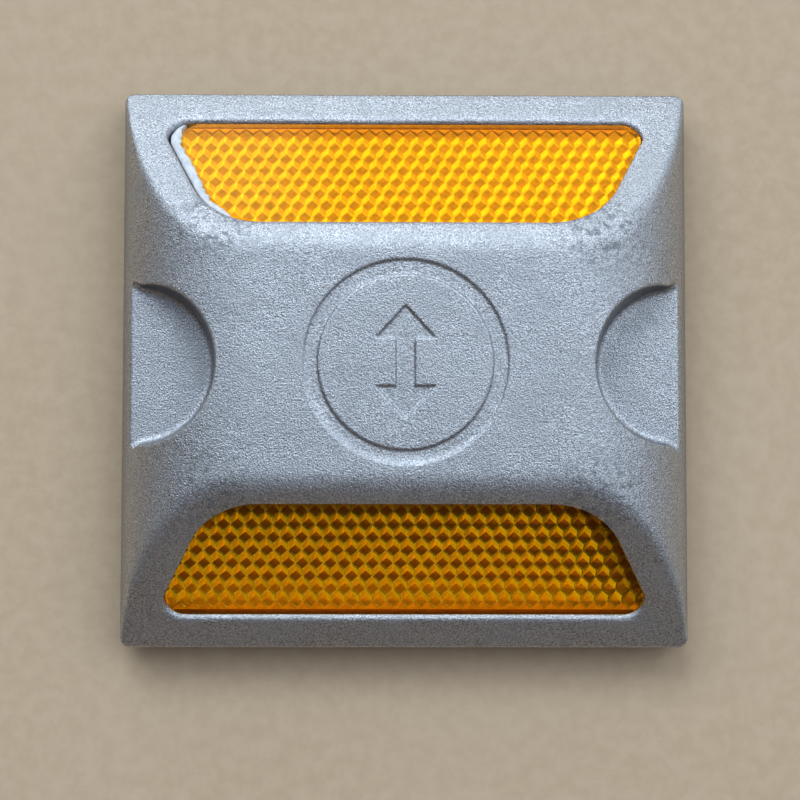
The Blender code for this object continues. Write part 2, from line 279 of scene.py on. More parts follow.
def distance_in(points, corners):
    """Distance to a closed outline, negative inside."""
    nearest = np.full(len(points), np.inf)
    for start, end in zip(np.array(corners), np.roll(corners, -1, axis=0)):
        along = end - start
        share = np.clip((points - start) @ along / (along @ along), 0.0, 1.0)
        nearest = np.minimum(nearest, np.linalg.norm(points - start - share[:, None] * along, axis=1))
    return np.where(inside(points, corners), -nearest, nearest)


# ---------------------------------------------------------------- casting surface

def smooth_step(value, low, high):
    share = np.clip((value - low) / (high - low), 0.0, 1.0)
    return share * share * (3.0 - 2.0 * share)


def soft_min(a, b, reach):
    """The smaller of two heights, blended where they are closer than the reach."""
    overlap = np.maximum(reach - np.abs(a - b), 0.0)
    return np.minimum(a, b) - overlap ** 2 / (4.0 * reach)


def shoulder_inset(height):
    """How far inside the casting's side the shoulder has this height."""
    if height < FOOT_HEIGHT:
        return FOOT_INSET * height / FOOT_HEIGHT
    return SHOULDER_INSET + SHOULDER_RUN * (1.0 - math.sqrt(1.0 - (height / HEIGHT) ** 2))


def shell_height(x, y):
    """The casting without its notches and emblem."""
    inset = HALF_X - np.abs(x)
    run = np.clip(1.0 - (inset - SHOULDER_INSET) / SHOULDER_RUN, 0.0, 1.0)
    shoulder = HEIGHT * np.sqrt(1.0 - run ** 2)
    shoulder = np.where(inset < FOOT_INSET, FOOT_HEIGHT * inset / FOOT_INSET, shoulder)
    slope = HEIGHT - (np.abs(y) - CREST) * math.tan(SLOPE)
    return soft_min(shoulder, slope, CREST_SOFTNESS)


def notch_mouth(x):
    """How far the notch's walls flare apart as they near the side of the casting."""
    return NOTCH_FLARE * smooth_step(np.abs(x), NOTCH_CENTRE - 1.6, NOTCH_CENTRE + 1.0)


def notch_past(x, y):
    """Distance outside the foot of a notch's wall."""
    along = np.maximum(NOTCH_CENTRE - np.abs(x), 0.0)
    return np.hypot(along, y) - NOTCH_RADIUS - notch_mouth(x)


def notch_height(x, y):
    past = notch_past(x, y)
    reach = NOTCH_FILLET / math.tan(math.pi / 4.0 + NOTCH_DRAFT / 2.0)
    widest = NOTCH_FILLET * math.cos(NOTCH_DRAFT)
    across = np.clip(past + reach, 0.0, widest)
    fillet = NOTCH_FILLET - np.sqrt(NOTCH_FILLET ** 2 - across ** 2)
    return NOTCH_FLOOR + np.where(past > widest - reach, past / math.tan(NOTCH_DRAFT), fillet)


def emblem_depth(x, y):
    radius = np.hypot(x, y)
    half = EDGE_WIDTH / 2.0
    groove = smooth_step(radius, GROOVE_INNER - half, GROOVE_INNER + half)
    worn = WORN_WIDTH * np.clip(-(0.6 * x + 0.8 * y) / np.maximum(radius, 1.0), 0.0, 1.0)
    groove = groove * (1.0 - smooth_step(radius, GROOVE_OUTER - half - worn, GROOVE_OUTER + half))
    to_arrow = distance_in(np.stack([x, y], axis=1), arrow_corners())
    return EMBLEM_DEPTH * np.maximum(groove, 1.0 - smooth_step(to_arrow, -half, half))


def unevenness(x, y):
    """The slow, shallow waviness of a cast face."""
    waves = 0.030 * np.sin(x / 5.3 + 1.3 * np.sin(y / 7.9))
    waves += 0.022 * np.sin(y / 4.1 + 1.7 * np.sin(x / 6.7) + 2.0)
    return waves + 0.014 * np.sin((x + y) / 2.9 + 0.8) * np.sin((x - y) / 3.7)


def casting_height(x, y):
    shell = shell_height(x, y)
    past = notch_past(x, y)
    softness = 0.5 + 1.7 * smooth_step(past, -0.5, 0.3)
    notched = soft_min(shell, notch_height(x, y), softness)
    height = np.where(past < 3.0, notched, shell)
    return height - emblem_depth(x, y) + unevenness(x, y)


# ---------------------------------------------------------------- meshes

def face_outwards(piece):
    work = bmesh.new()
    work.from_mesh(piece.data)
    bmesh.ops.recalc_face_normals(work, faces=work.faces)
    work.to_mesh(piece.data)
    work.free()


def finish_piece(piece, materials, node, crease=40.0):
    for material in materials:
        piece.data.materials.append(material)
    piece.data.shade_smooth()
    piece.data.set_sharp_from_angle(angle=math.radians(crease))
    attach(piece, "root")
    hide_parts(node)


def combine(piece, tool, operation):
    """Applies a Boolean to the piece and removes the tool."""
    modifier = piece.modifiers.new(tool.name, "BOOLEAN")
    modifier.operation = operation
    modifier.solver = "EXACT"
    modifier.object = tool
    graph = bpy.context.evaluated_depsgraph_get()
    mesh = bpy.data.meshes.new_from_object(piece.evaluated_get(graph))
    piece.modifiers.clear()
    piece.data = mesh
    bpy.data.objects.remove(tool, do_unlink=True)


def bridge(lower, upper):
    """Quads between two closed rings with the same number of points."""
    count = len(lower)
    pairs = [(i, (i + 1) % count) for i in range(count)]
    return [(lower[i], lower[j], upper[j], upper[i]) for i, j in pairs]


class Plan:
    """Points and lines on a plane, triangulated so that every line is followed by edges."""

    def __init__(self):
        self.points = []
        self.edges = []

    def line(self, points, closed=False):
        first = len(self.points)
        self.points += [Vector(point[:2]) for point in points]
        last = len(self.points)
        self.edges += [(i, i + 1) for i in range(first, last - 1)]
        if closed:
            self.edges.append((last - 1, first))
        return range(first, last)

    def fill(self, points):
        self.points += [Vector(point[:2]) for point in points]

    def triangles(self):
        """Points, the triangles inside the lines, and the new number of each point that was given."""
        made = delaunay_2d_cdt(self.points, self.edges, [], 1, 1e-6)
        points = np.array([tuple(point) for point in made[0]])
        number = {source: new for new, sources in enumerate(made[3]) for source in sources}
        return points, np.array(made[2]), number


class Solid:
    """Points, in millimetres above the casting's underside, and faces of a mesh."""

    def __init__(self):
        self.points = []
        self.faces = []
        self.count = 0

    def layer(self, points):
        self.points.append(np.asarray(points, float))
        self.count += len(points)
        return list(range(self.count - len(points), self.count))

    def join(self, ring, layers):
        """Joins a ring of points to each layer in turn, and returns the last one's numbers."""
        for points in layers:
            following = self.layer(points)
            self.faces += bridge(ring, following)
            ring = following
        return ring

    def loft(self, layers):
        """Adds a closed body through layers of points."""
        first = self.layer(layers[0])
        last = self.join(first, layers[1:])
        self.faces += [tuple(first), tuple(last)]

    def piece(self, name):
        mesh = bpy.data.meshes.new(name)
        points = (np.concatenate(self.points) + (0.0, 0.0, BASE)) * MM
        mesh.from_pydata([tuple(point) for point in points], [], self.faces)
        made = bpy.data.objects.new(name, mesh)
        bpy.context.scene.collection.objects.link(made)
        face_outwards(made)
        return made


# ---------------------------------------------------------------- casting

def notch_lines(plan, side):
    """Lines along the notch's fillet, wall and rim, and along the outer edge of its floor."""
    ends = np.linspace(HALF_X - 1.2, NOTCH_CENTRE, 9)[:-1]
    angles = np.linspace(math.pi / 2.0, 1.5 * math.pi, 96)
    arc = [(NOTCH_CENTRE + NOTCH_RADIUS * math.cos(a), NOTCH_RADIUS * math.sin(a)) for a in angles]
    foot = [(x, NOTCH_RADIUS) for x in ends] + arc + [(x, -NOTCH_RADIUS) for x in reversed(ends)]
    foot = np.array(foot)
    centre = np.stack([np.maximum(foot[:, 0], NOTCH_CENTRE), np.zeros(len(foot))], axis=1)
    outwards = (foot - centre) / NOTCH_RADIUS
    outwards[foot[:, 0] > NOTCH_CENTRE, 0] = 0.0
    flare = notch_mouth(foot[:, 0])
    rise = shell_height(foot[:, 0], foot[:, 1]) - NOTCH_FLOOR
    rim = np.maximum(rise, 0.0) * math.tan(NOTCH_DRAFT)

    def track(offset):
        points = foot + outwards * (flare + offset)[:, None]
        plan.line(points * (side, 1.0))

    for offset in (-1.3, -0.9, -0.55, -0.25, 0.0):
        track(np.full(len(foot), offset))
    for beyond in (-0.25, -0.1, 0.05, 0.2, 0.4, 0.7, 1.1):
        track(np.maximum(rim + beyond, 0.1 + beyond * 0.2))
    edge = HALF_X - shoulder_inset(NOTCH_FLOOR)
    across = np.linspace(-NOTCH_RADIUS - 0.3, NOTCH_RADIUS + 0.3, 64)
    for offset in (-0.9, -0.45, -0.2, 0.0, 0.2, 0.45, 0.9):
        plan.line([(side * (edge + offset), y) for y in across])


def casting_grid(border):
    """Even points, packed closer towards the sides, and clear of the border and the lines."""
    half_x, half_y = border.max(axis=0)
    bend = 1.25
    across = np.sin(np.linspace(-bend, bend, int(2.0 * half_x / GRID))) / math.sin(bend)
    rows = np.linspace(-half_y, half_y, int(2.0 * half_y / GRID))
    x, y = (axis.ravel() for axis in np.meshgrid(half_x * across, rows))
    points = np.stack([x, y], axis=1)
    past = notch_past(x, y)
    clear = distance_in(points, border) < -0.35
    clear &= (past < -1.5) | (past > 1.8)
    clear &= (past > 0.0) | (np.abs(x) < HALF_X - 4.4)
    for groove in (GROOVE_INNER, GROOVE_OUTER):
        clear &= np.abs(np.hypot(x, y) - groove) > 0.8
    clear &= np.abs(distance_in(points, arrow_corners())) > 0.7
    for side in (1, -1):
        clear &= distance_in(points, window_rim(side, 0.7)[:, :2]) > 0.4
    return points[clear]


def edge_layers():
    """Insets in X and Y and the height of each layer down the casting's rounded outer edge."""
    turn = math.pi / 2.0 - SLOPE
    edge_height = HEIGHT - (HALF_Y - END_DRAFT - CREST) * math.tan(SLOPE)
    centre = edge_height - END_ROUNDING * math.tan(turn / 2.0)
    layers = []
    for step in range(5):
        angle = turn * (1.0 - step / 4.0)
        height = centre + END_ROUNDING * math.sin(angle)
        inset_y = END_DRAFT + END_ROUNDING * (1.0 - math.cos(angle))
        layers.append((shoulder_inset(height), inset_y, height))
    return layers + [(0.04, 0.0, 0.22), (0.2, 0.16, 0.0)]


def window_layers(side):
    """The lip and walls of a window, from just below its rim to the floor of its pocket."""
    layers = []
    for inset, drop, depth in WINDOW_PROFILE[1:]:
        points = on_slope(window_outline(inset, drop=drop), side, depth)
        fade = max(0.0, 1.0 - depth / LENS_RECESS)
        points[:, 2] += fade * unevenness(points[:, 0], points[:, 1])
        layers.append(points)
    return layers


def casting_plan(border):
    """The casting's top seen from above, with the numbers of its border's and rims' points."""
    plan = Plan()
    edge = plan.line(border, closed=True)
    rims = {}
    for side in (1, -1):
        rims[side] = plan.line(window_rim(side), closed=True)
        plan.line(window_rim(side, 0.65), closed=True)
        notch_lines(plan, side)
    for radius in (GROOVE_INNER, GROOVE_OUTER):
        for offset in (-0.45, -0.18, -0.06, 0.06, 0.18, 0.45):
            plan.line(circle(radius + offset), closed=True)
    for grow in (-0.4, -0.18, -0.06, 0.06, 0.18, 0.4):
        plan.line(divided(arrow_corners(grow), 0.6), closed=True)
    plan.fill(casting_grid(border))
    flat, triangles, number = plan.triangles()
    for side in (1, -1):
        centres = flat[triangles].mean(axis=1)
        triangles = triangles[~inside(centres, window_rim(side)[:, :2])]
    rims = {side: [number[i] for i in rim] for side, rim in rims.items()}
    return flat, triangles, [number[i] for i in edge], rims


def make_casting_shell():
    """The casting's outside with its pockets, closed by a flat underside."""
    layers = edge_layers()
    outlines = [(rectangle(HALF_X - x, HALF_Y - y, CORNER_RADIUS), z) for x, y, z in layers]
    flat, triangles, edge, rims = casting_plan(outlines[0][0])
    top = np.column_stack([flat, casting_height(flat[:, 0], flat[:, 1])])
    solid = Solid()
    solid.layer(top)
    solid.faces += [tuple(int(i) for i in triangle) for triangle in triangles]
    for side, rim in rims.items():
        solid.faces.append(tuple(solid.join(rim, window_layers(side))))
    lift = top[edge, 2] / outlines[0][1]
    lower = [np.column_stack([outline, z * lift]) for outline, z in outlines[1:]]
    solid.faces.append(tuple(solid.join(edge, lower)))
    return solid.piece("casting")


def merged_copy(node):
    """A copy of a CAD node's mesh with the points at one place merged."""
    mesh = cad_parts[node].data.copy()
    work = bmesh.new()
    work.from_mesh(mesh)
    bmesh.ops.remove_doubles(work, verts=work.verts, dist=1e-6)
    work.to_mesh(mesh)
    work.free()
    copy = bpy.data.objects.new(f"{node}_copy", mesh)
    bpy.context.scene.collection.objects.link(copy)
    return copy


def keep_lowest(piece):
    """Leaves only the body that reaches below the casting."""
    work = bmesh.new()
    work.from_mesh(piece.data)
    ahead = [vertex for vertex in work.verts if vertex.co.z < CASTING_LOW.z]
    found = set(ahead)
    while ahead:
        vertex = ahead.pop()
        others = {edge.other_vert(vertex) for edge in vertex.link_edges} - found
        found |= others
        ahead += others
    bmesh.ops.delete(work, geom=[v for v in work.verts if v not in found], context="VERTS")
    work.to_mesh(piece.data)
    work.free()


def make_hollow_cutter():
    """The hollow underside: what the CAD casting leaves empty of a block that just holds it."""
    margin, low = 0.1, -1.0
    width = HALF_X - WALL + margin
    run, ceiling = CORE_RUN + margin, CEILING + margin
    angles = [math.radians(5.0 * step) for step in range(1, 19)]
    half = [(width, low)]
    half += [(width - run * (1.0 - math.cos(a)), ceiling * math.sin(a)) for a in angles]
    block = Solid()
    block.loft([[(x, y, z) for x, z in mirrored(half)] for y in (-HALF_Y, HALF_Y)])
    reach, step = CORE_REACH + margin, CORE_STEP + margin
    under = (POCKET_DEPTH + FLOOR_WALL - margin) / math.cos(SLOPE)
    outer, inner = (HEIGHT - (y - CREST) * math.tan(SLOPE) - under for y in (reach, step))
    half = [(reach, low), (reach, outer), (step, inner), (step, ceiling + margin)]
    profile = Solid()
    profile.loft([[(x, y, z) for y, z in mirrored(half)] for x in (-HALF_X, HALF_X)])
    cutter = block.piece("hollow_cutter")
    combine(cutter, profile.piece("hollow_profile"), "INTERSECT")
    combine(cutter, merged_copy("body_casting"), "DIFFERENCE")
    keep_lowest(cutter)
    face_outwards(cutter)
    return cutter


def make_casting(material):
    piece = make_casting_shell()
    combine(piece, make_hollow_cutter(), "DIFFERENCE")
    finish_piece(piece, [material], "body_casting")


# ---------------------------------------------------------------- lenses

def cell_position(points):
    """Each point relative to the middle of its own cell, in cell sides, with the stretch removed."""
    x = points[:, 0] / CELL_SIDE
    y = (points[:, 1] - LAST_ROW) / (CELL_SIDE * CELL_STRETCH)
    best = np.full(len(points), np.inf)
    nearest = np.zeros((len(points), 2))
    for shift in (0, 1):
        row = 2.0 * np.round((y / 1.5 - shift) / 2.0) + shift
        column = np.round(x / math.sqrt(3.0) - shift / 2.0) + shift / 2.0
        local = np.stack([x - column * math.sqrt(3.0), y - row * 1.5], axis=1)
        gap = (local ** 2).sum(axis=1)
        nearest[gap < best] = local[gap < best]
        best = np.minimum(best, gap)
    return nearest


def cell_faces(local):
    """How far each point is towards the far corner of a cell's lower, left and right faces."""
    corners = np.array([(0.0, 1.0), (-math.sqrt(0.75), -0.5), (math.sqrt(0.75), -0.5)])
    return local @ corners.T


def cell_rim(local):
    """1 on the edge of a cell and 0 in its middle."""
    normals = np.array([(1.0, 0.0), (0.5, math.sqrt(0.75)), (0.5, -math.sqrt(0.75))])
    return np.abs(local @ normals.T).max(axis=1) / math.sqrt(0.75)


def prism_depth(points):
    """Depth below the slope of the lens's prismatic back."""
    local = cell_position(points)
    rim = np.maximum(cell_rim(local), CELL_INNER)
    local = local * (CELL_INNER / rim)[:, None]
    return PRISM_ROOT + CELL_STEP * (2.0 - 2.0 * cell_faces(local).max(axis=1))


def border_line(across):
    """Where the cells end: the zigzag lower edge of the last row."""
    along = np.abs((across / CELL_PITCH + 0.5) % 1.0 - 0.5) * 2.0
    return LAST_ROW + CELL_SIDE * CELL_STRETCH * (1.0 - along / 2.0)


def back_depth(points):
    past = points[:, 1] - border_line(points[:, 0])
    depth = np.where(past > SEAM / 2.0, FLANGE_BACK, prism_depth(points))
    return np.where(points[:, 1] > SKIRT_TOP + SEAM / 2.0, SKIRT_BACK, depth)


def cell_lines(plan, outline):
    """The ridges and corner edges of every cell that reaches into the outline."""
    low, high = outline.min(axis=0), outline.max(axis=0)
    row_pitch = 1.5 * CELL_SIDE * CELL_STRETCH
    reach = int(np.abs(outline[:, 0]).max() / CELL_PITCH) + 2
    turns = [math.radians(30.0 + 60.0 * k) for k in range(6)]
    size = CELL_SIDE * CELL_INNER
    for row in range(-int((LAST_ROW - low[1]) / row_pitch) - 1, 1):
        for column in range(-reach, reach + 1):
            x = (column + (row % 2) / 2.0) * CELL_PITCH
            y = LAST_ROW + row * row_pitch
            if low[0] - CELL_PITCH < x < high[0] + CELL_PITCH:
                hexagon = [(x + size * math.cos(a), y + size * CELL_STRETCH * math.sin(a)) for a in turns]
                plan.line(hexagon, closed=True)
                for corner in (0, 2, 4):
                    plan.line([(x, y), hexagon[corner]])


def lens_plan(outline):
    """Points and triangles of the lens's back, with every cell edge and step followed."""
    plan = Plan()
    plan.line(outline, closed=True)
    cell_lines(plan, outline)
    reach = math.ceil(np.abs(outline[:, 0]).max() / CELL_PITCH) + 1
    across = np.arange(-2 * reach, 2 * reach + 1) * CELL_PITCH / 2.0
    for offset in (0.0, SEAM):
        plan.line(np.column_stack([across, border_line(across) + offset]))
        plan.line([(across[0], SKIRT_TOP + offset), (across[-1], SKIRT_TOP + offset)])
    flat, triangles, _ = plan.triangles()
    triangles = triangles[inside(flat[triangles].mean(axis=1), outline)]
    used, triangles = np.unique(triangles, return_inverse=True)
    return flat[used], triangles.reshape(-1, 3)


def border_loop(triangles):
    """The numbers of the points round the edge of a set of triangles, in order."""
    edges = {(int(t[k]), int(t[k - 2])) for t in triangles for k in range(3)}
    ahead = {start: end for start, end in edges if (end, start) not in edges}
    loop = [min(ahead)]
    while ahead[loop[-1]] != loop[0]:
        loop.append(ahead[loop[-1]])
    return loop


def face_kind(centres):
    """0 for a side face of a cell, 1 for its lower face, 2 for a ridge and 3 for the border."""
    local = cell_position(centres)
    lower = cell_faces(local).argmax(axis=1) == 0
    kind = np.where(cell_rim(local) > CELL_INNER, 2, np.where(lower, 1, 0))
    return np.where(centres[:, 1] > border_line(centres[:, 0]), 3, kind)


def make_lens(name, node, side, trim, materials):
    """Amber lens: a flat polished front, and a back of cube-corner prisms with a skirt below them."""
    phase = CELL_PHASE[side]
    flat, triangles = lens_plan(window_outline(LENS_GAP, trim) - (phase, 0.0))
    kinds = face_kind(flat[triangles].mean(axis=1))
    lens = Solid()
    lens.layer(from_slope(flat[:, 0] + phase, flat[:, 1], back_depth(flat), side))
    lens.faces += [tuple(int(i) for i in triangle) for triangle in triangles]
    loop = border_loop(triangles)
    edge = flat[loop]
    front = lens.join(loop, [from_slope(edge[:, 0] + phase, edge[:, 1], LENS_RECESS, side)])
    lens.faces.append(tuple(front))
    piece = lens.piece(name)
    finish_piece(piece, materials, node, crease=5.0)
    for polygon, kind in zip(piece.data.polygons, kinds):
        polygon.material_index = int(kind) + 1


# ---------------------------------------------------------------- adhesive and pad

def ragged(rng, steps, width):
    """Random values, evened out over a few neighbours."""
    return np.convolve(rng.normal(0.0, 1.0, steps), np.ones(width) / width, "same")


def left_edge(down):
    """Across position of the window's left edge, round its corners too."""
    outline = window_outline()
    left = outline[outline[:, 0] < 0.0]
    order = np.argsort(left[:, 1])
    return float(np.interp(down, left[order, 1], left[order, 0]))


def bead_section(down, wobble, ridge, along):
    """Rounded cross-section of the bead at a distance down the slope."""
    taper = min(1.0, 8.0 * along * (1.0 - along) + 0.25)
    outer = left_edge(down) + 0.32 + 0.10 * abs(ridge)
    width = (1.75 + 0.40 * wobble) * taper + 0.1
    top = LENS_RECESS - 0.06 + 0.12 * abs(ridge)
    points = []
    for angle in np.linspace(0.0, math.pi, 9):
        across = outer + width * (1.0 - math.cos(angle)) / 2.0
        points.append((across, top + 0.30 * (1.0 - math.sin(angle))))
    points = np.array(points + [(outer + width, 5.0), (outer, 5.0)])
    return from_slope(points[:, 0], down, points[:, 1], 1)


def make_far_adhesive(material):
    """A bed of adhesive, and a ragged bead of it squeezed up beside the lens's trimmed end."""
    rng = np.random.default_rng(SEED)
    steps = 90
    wobble = ragged(rng, steps, 3)
    ridge = ragged(rng, steps, 5)
    down = np.linspace(WINDOW_TOP + 0.6, WINDOW_BOTTOM - 0.35, steps)
    adhesive = Solid()
    adhesive.loft([on_slope(window_outline(0.4), 1, depth) for depth in (5.75, 5.3)])
    shares = np.linspace(0.0, 1.0, steps)
    adhesive.loft([bead_section(*values) for values in zip(down, wobble, ridge, shares)])
    finish_piece(adhesive.piece("far_adhesive_bead"), [material], "far_adhesive", 70.0)


def pad_ring(half_x, half_y, radius, height, bulge):
    """A ring round the pad, pushed out and in a little as pressed butyl is."""
    outline = rectangle(half_x, half_y, radius)
    angle = np.arctan2(outline[:, 1], outline[:, 0])
    wave = 0.16 * np.sin(5.0 * angle + 0.7) + 0.12 * np.sin(11.0 * angle + 2.1)
    wave += 0.07 * np.sin(23.0 * angle)
    outline = outline * (1.0 + wave * bulge / half_x)[:, None]
    return np.column_stack([outline, np.full(len(outline), height)])


def make_pad(material):
    """Butyl pad, squeezed so that its sides bulge."""
    half_x, half_y = PAD_HIGH.x / MM - 0.8, PAD_HIGH.y / MM - 0.8
    thickness = (PAD_HIGH.z - PAD_LOW.z) / MM
    rings = []
    for angle in np.linspace(0.0, math.pi, 13):
        out = 0.42 * max(math.sin(angle), 0.0) ** 0.6
        height = thickness * (1.0 - math.cos(angle)) / 2.0 - BASE
        rings.append(pad_ring(half_x + out, half_y + out, 3.6 + out, height, 0.3 + out))
    lower = [rings[0] * (share, share, 1.0) for share in (0.6, 0.97)]
    upper = [rings[-1] * (share, share, 1.0) for share in (0.97, 0.6)]
    pad = Solid()
    pad.loft(lower + rings + upper)
    finish_piece(pad.piece("butyl_pad"), [material], "mounting_pad", 60.0)


# ---------------------------------------------------------------- materials

class Look:
    """Shorthand for building a material's nodes. Positions are in millimetres."""

    def __init__(self, name):
        self.material = bpy.data.materials.new(name)
        self.material.use_nodes = True
        self.tree = self.material.node_tree
        self.shader = self.tree.nodes["Principled BSDF"]
        self.output = self.tree.nodes["Material Output"]
        place = self.tree.nodes.new("ShaderNodeTexCoord").outputs["Object"]
        self.place = self.vector("SCALE", place, 1.0 / MM)

    def put(self, socket, value):
        if isinstance(value, bpy.types.NodeSocket):
            self.tree.links.new(value, socket)
        else:
            socket.default_value = value

    def vector(self, operation, a, b):
        node = self.tree.nodes.new("ShaderNodeVectorMath")
        node.operation = operation
        self.put(node.inputs[0], a)
        self.put(node.inputs["Scale" if operation == "SCALE" else 1], b)
        return node.outputs["Value" if operation in ("DISTANCE", "DOT_PRODUCT") else "Vector"]

    def maths(self, operation, a, b):
        node = self.tree.nodes.new("ShaderNodeMath")
        node.operation = operation
        self.put(node.inputs[0], a)
        self.put(node.inputs[1], b)
        return node.outputs[0]

    def noise(self, scale, detail=2.0, roughness=0.5, stretch=(1.0, 1.0, 1.0), distortion=0.0):
        node = self.tree.nodes.new("ShaderNodeTexNoise")
        self.put(node.inputs["Vector"], self.vector("MULTIPLY", self.place, stretch))
        values = {"Scale": scale, "Detail": detail, "Roughness": roughness, "Distortion": distortion}
        for name, value in values.items():
            node.inputs[name].default_value = value
        return node.outputs["Fac"]

    def range(self, value, low, high, start=0.0, end=1.0):
        node = self.tree.nodes.new("ShaderNodeMapRange")
        node.interpolation_type = "SMOOTHSTEP"
        self.put(node.inputs["Value"], value)
        for name, limit in (("From Min", low), ("From Max", high), ("To Min", start), ("To Max", end)):
            node.inputs[name].default_value = limit
        return node.outputs["Result"]

    def mix(self, factor, a, b):
        node = self.tree.nodes.new("ShaderNodeMix")
        node.data_type = "RGBA"
        self.put(node.inputs["Factor"], factor)
        for name, value in (("A_Color", a), ("B_Color", b)):
            socket = next(s for s in node.inputs if s.identifier == name)
            self.put(socket, value if isinstance(value, bpy.types.NodeSocket) else (*value, 1.0))
        return next(s for s in node.outputs if s.identifier == "Result_Color")

    def near(self, centre, radius):
        """1 at a point, falling to 0 at a distance from it."""
        gap = self.vector("DISTANCE", self.place, (centre[0], centre[1], centre[2] + BASE))
        return self.range(gap, radius * 0.25, radius, 1.0, 0.0)

    def bump(self, height, distance, strength=1.0):
        """Adds to the bumps the shader already has."""
        node = self.tree.nodes.new("ShaderNodeBump")
        node.inputs["Strength"].default_value = strength
        node.inputs["Distance"].default_value = distance * MM
        self.put(node.inputs["Height"], height)
        normal = self.shader.inputs["Normal"]
        if normal.is_linked:
            self.tree.links.new(normal.links[0].from_socket, node.inputs["Normal"])
        self.put(normal, node.outputs["Normal"])

    def set(self, **values):
        for name, value in values.items():
            socket = self.shader.inputs[name.replace("_", " ")]
            if name == "Base_Color" and not isinstance(value, bpy.types.NodeSocket):
                value = (*value, 1.0)
            self.put(socket, value)
        return self.material


def aluminium_look():
    """Shot-blasted die-cast aluminium: fine grain, dull patches, dark scuffs and light scratches."""
    look = Look("cast_aluminium")
    fine = look.noise(3.6, 2.0, 0.7)
    grain = look.noise(1.6, 3.0, 0.7)
    patch = look.noise(0.16, 4.0, 0.6)
    colour = look.mix(look.range(fine, 0.32, 0.68), (0.26, 0.27, 0.29), (0.74, 0.76, 0.79))
    colour = look.mix(look.range(patch, 0.35, 0.7, 0.0, 0.45), colour, (0.45, 0.47, 0.50))
    specks = look.range(look.noise(2.3, 1.0), 0.66, 0.74, 0.0, 0.55)
    colour = look.mix(specks, colour, (0.16, 0.165, 0.18))
    glints = look.range(look.noise(2.7, 1.0), 0.67, 0.75, 0.0, 0.6)
    colour = look.mix(glints, colour, (0.9, 0.92, 0.95))
    spots = [look.near((x, y, 18.0), 11.0) for x in (-32.0, 33.0) for y in (-22.0, 23.0)]
    scuffs = spots[0]
    for spot in spots[1:]:
        scuffs = look.maths("MAXIMUM", scuffs, spot)
    scuffs = look.maths("MULTIPLY", scuffs, look.range(look.noise(0.75, 5.0, 0.7), 0.46, 0.62))
    colour = look.mix(look.maths("MULTIPLY", scuffs, 0.6), colour, (0.15, 0.155, 0.17))
    scratch = look.range(look.noise(0.9, 2.0, 0.5, (0.35, 4.0, 1.0), 0.6), 0.68, 0.72, 0.0, 0.35)
    colour = look.mix(scratch, colour, (0.8, 0.82, 0.84))
    # Painted shade: faces turned away from straight up, such as the sides, ends and notch walls, are
    # painted up to 0.8 of the way towards dark grey.
    facing = look.tree.nodes.new("ShaderNodeNewGeometry").outputs["Normal"]
    steep = look.range(look.vector("DOT_PRODUCT", facing, (0.0, 0.0, 1.0)), 0.1, 0.55, 0.8, 0.0)
    colour = look.mix(steep, colour, (0.12, 0.12, 0.14))
    rough = look.range(patch, 0.3, 0.7, 0.37, 0.47)
    rough = look.maths("ADD", rough, look.maths("MULTIPLY", scuffs, 0.15))
    look.bump(grain, 0.12, 0.7)
    look.bump(fine, 0.13, 1.0)
    look.bump(look.noise(0.45, 2.0), 0.22, 0.35)
    return look.set(Base_Color=colour, Metallic=1.0, Roughness=rough)


def let_light_through(look):
    """Lamps shine straight through the surface, so what lies behind it is lit."""
    path = look.tree.nodes.new("ShaderNodeLightPath").outputs["Is Shadow Ray"]
    clear = look.tree.nodes.new("ShaderNodeBsdfTransparent")
    clear.inputs["Color"].default_value = (*SHADOW_TINT, 1.0)
    blend = look.tree.nodes.new("ShaderNodeMixShader")
    look.put(blend.inputs[0], path)
    look.put(blend.inputs[1], look.shader.outputs[0])
    look.put(blend.inputs[2], clear.outputs[0])
    look.put(look.output.inputs["Surface"], blend.outputs[0])
    return look.material


def front_look():
    """Clear amber acrylic, polished, with faint cloudy patches."""
    look = Look("amber_front")
    haze = look.noise(0.5, 3.0, 0.6)
    colour = look.mix(look.range(haze, 0.35, 0.7), (1.0, 0.80, 0.08), (0.8, 0.64, 0.064))
    rough = look.range(haze, 0.3, 0.7, 0.04, 0.072)
    look.set(Base_Color=colour, Roughness=rough, IOR=1.49, Transmission_Weight=1.0)
    look.set(Specular_Tint=(1.0, 0.7, 0.12, 1.0))
    return let_light_through(look)


def prism_look(name, colour, roughness, turn, shade=None):
    """Prism faces that reflect totally.

    Three such faces together send light back the way it came, so each is shaded as a mirror that is
    turned towards the sky. A shade is painted shade: faces take it away from the near window's lower
    edge, and are painted brighter, as if lit, near that edge.
    """
    look = Look(name)
    glint = look.noise(0.8, 2.0, 0.6)
    deep = tuple(value * 0.8 for value in colour)
    colour = look.mix(look.range(glint, 0.35, 0.65), colour, deep)
    # Painted shade and light: darker colour away from the near window's lower edge, full colour near it.
    if shade:
        nearer = look.vector("DOT_PRODUCT", look.place, (0.0, -1.0, 0.0))
        colour = look.mix(look.range(nearer, *NEAR_LIT), shade, colour)
    look.set(Base_Color=colour, Metallic=1.0, Roughness=roughness)
    facing = look.tree.nodes.new("ShaderNodeNewGeometry").outputs["Normal"]
    turned = look.vector("ADD", facing, turn)
    look.set(Normal=look.vector("NORMALIZE", turned, (0.0, 0.0, 0.0)))
    return let_light_through(look)


def silver_look():
    """Satin silver coat of the trays. The prisms bend light on its way, as if the trays were steeper."""
    look = Look("silvered_abs")
    colour = look.mix(look.noise(0.35, 3.0, 0.6), (0.92, 0.92, 0.92), (0.75, 0.75, 0.76))
    facing = look.tree.nodes.new("ShaderNodeNewGeometry").outputs["Normal"]
    steeper = look.vector("MULTIPLY", facing, (1.0, 1.6, 1.0))
    look.set(Normal=look.vector("NORMALIZE", steeper, (0.0, 0.0, 0.0)))
    return look.set(Base_Color=colour, Metallic=1.0, Roughness=0.25)


